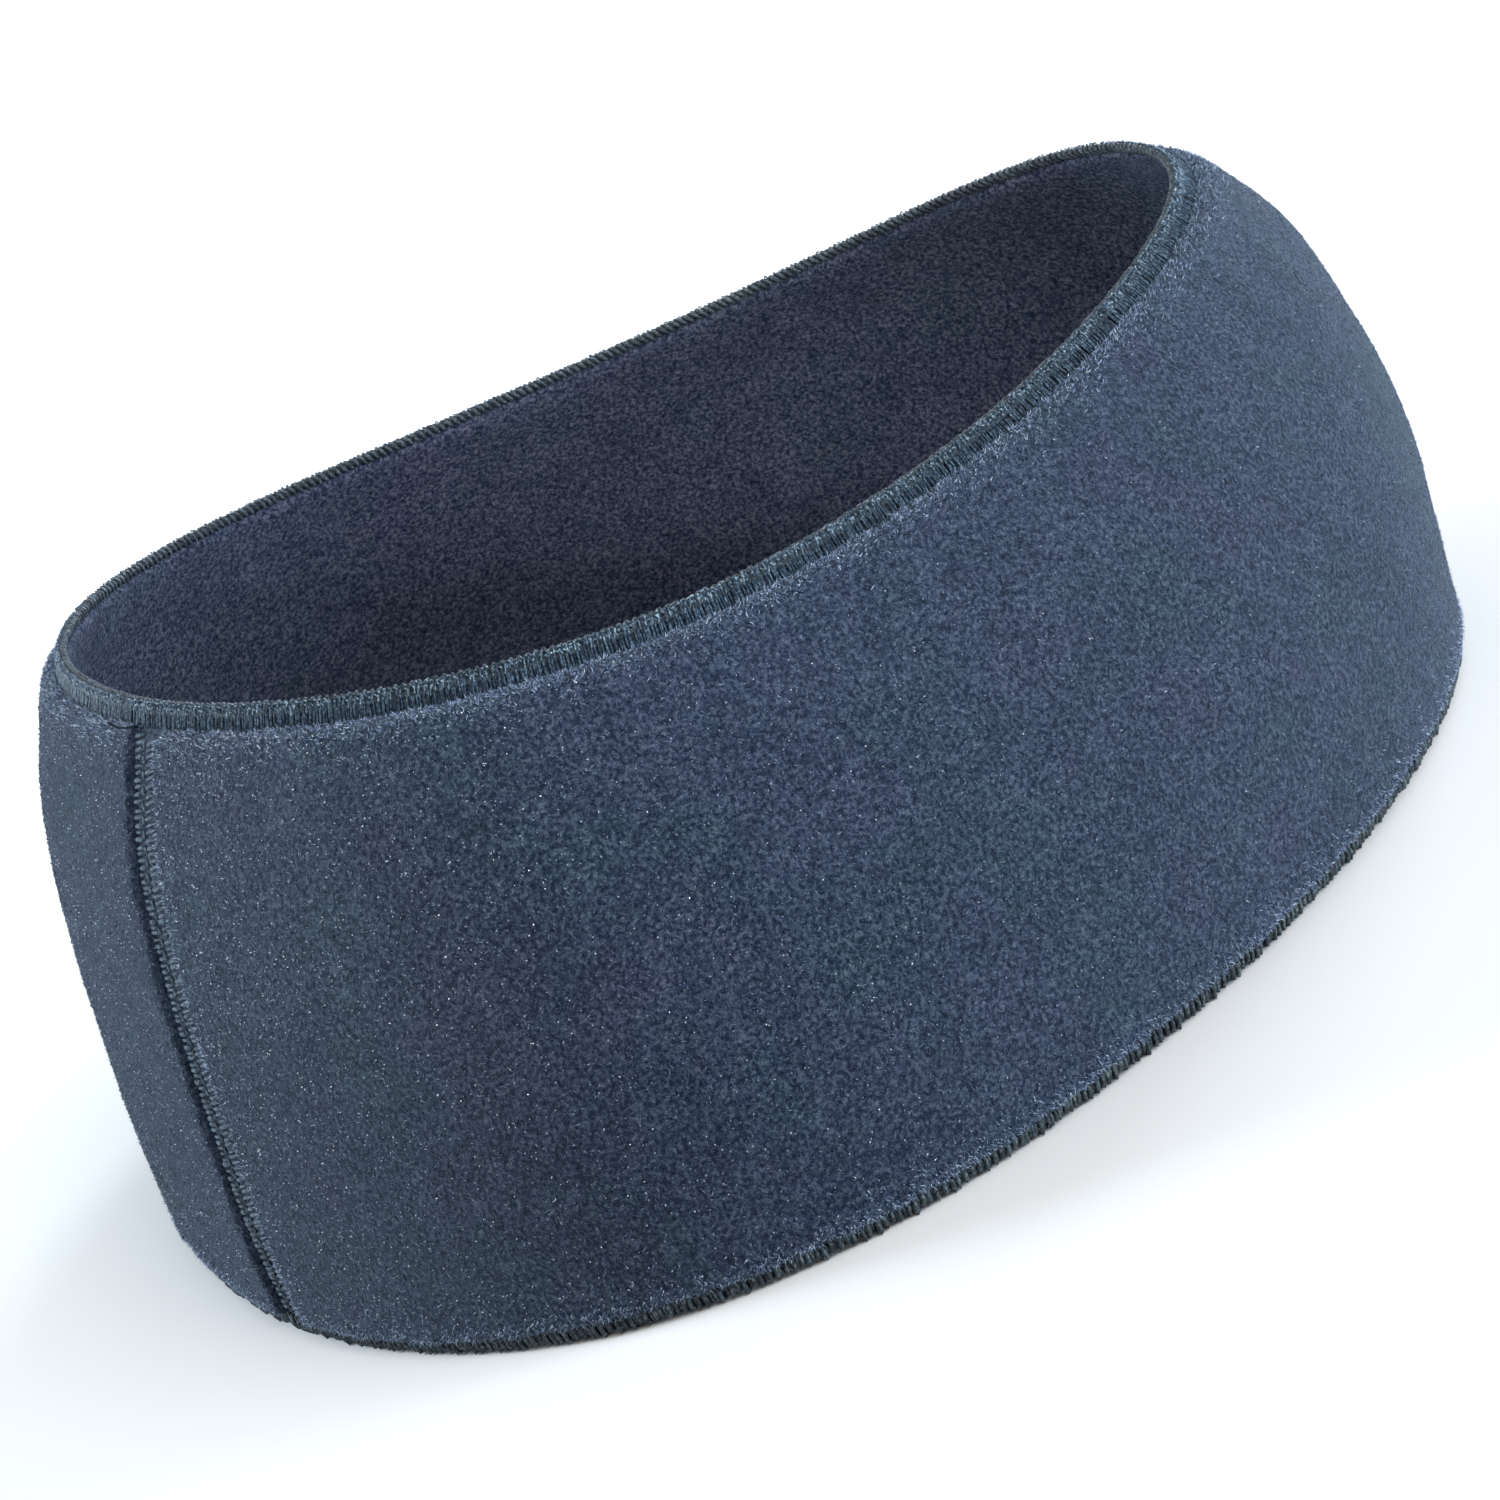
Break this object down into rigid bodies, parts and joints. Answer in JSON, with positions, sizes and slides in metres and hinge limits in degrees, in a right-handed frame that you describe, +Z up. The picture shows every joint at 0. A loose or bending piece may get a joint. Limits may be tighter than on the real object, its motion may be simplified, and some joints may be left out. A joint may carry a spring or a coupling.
{
  "type": "fleece headband",
  "caption": "Wide closed band of brushed fleece for the head and ears, overlocked along both edges and joined by a flat seam at the back.",
  "frame": {"origin": "middle of the footprint, on the surface that the lower edge stands on", "axes": "+Z up through the opening, +X to the front of the head, +Y to the side away from the seam"},
  "size_m": [0.2066, 0.1934, 0.0855],
  "materials": {
    "fleece": "brushed polyester fleece, matt, slate blue",
    "overlock_thread": "bulked polyester thread, slightly glossy, dark teal",
    "seam_thread": "bulked polyester thread, slightly glossy, slate"
  },
  "bodies": {
    "root": {"fleece_band": "fleece", "top_overlock": "overlock_thread", "bottom_overlock": "overlock_thread", "seam_stitch_outer": "seam_thread", "seam_stitch_inner": "seam_thread"}
  },
  "joints": []
}
